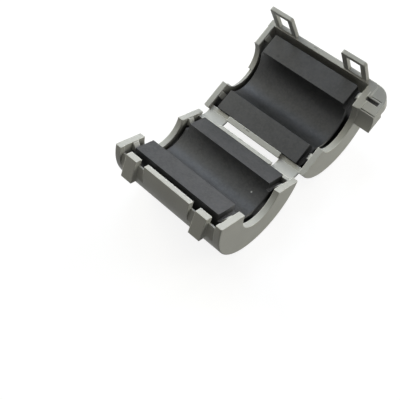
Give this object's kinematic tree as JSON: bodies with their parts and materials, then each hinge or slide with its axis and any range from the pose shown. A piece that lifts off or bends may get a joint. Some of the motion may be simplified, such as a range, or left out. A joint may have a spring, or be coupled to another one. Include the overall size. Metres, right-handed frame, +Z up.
{
  "type": "clip-on ferrite core",
  "caption": "Split ferrite ring in a hinged moulded case that snaps shut round a cable, with window loops that close over catches and a cable-tie bracket at one end.",
  "frame": {"origin": "centre of the bounding box's footprint, on the surface that the open core lies on", "axes": "+X along the cable, towards the end with the cable-tie bracket; +Y from the half with the catches to the half with the loops; +Z up"},
  "size_m": [0.0406, 0.0636, 0.0297],
  "materials": {
    "case": "fine matte moulded nylon, warm light grey",
    "ferrite": "unglazed sintered ferrite, dark grey with a dull sheen"
  },
  "bodies": {
    "catch_half": {"catch_shell": "case", "catch_ferrite": "ferrite", "far_hinge_strap": "case", "near_hinge_strap": "case"},
    "loop_half": {"loop_shell": "case", "loop_ferrite": "ferrite"}
  },
  "joints": [
    {"name": "case_hinge", "type": "hinge", "parent": "catch_half", "child": "loop_half", "pos_m": [-0.00245, 0.00099, 0.00915], "axis": [1, 0, 0], "range_deg": [-45, 135], "deforming": ["far_hinge_strap", "near_hinge_strap"]}
  ]
}
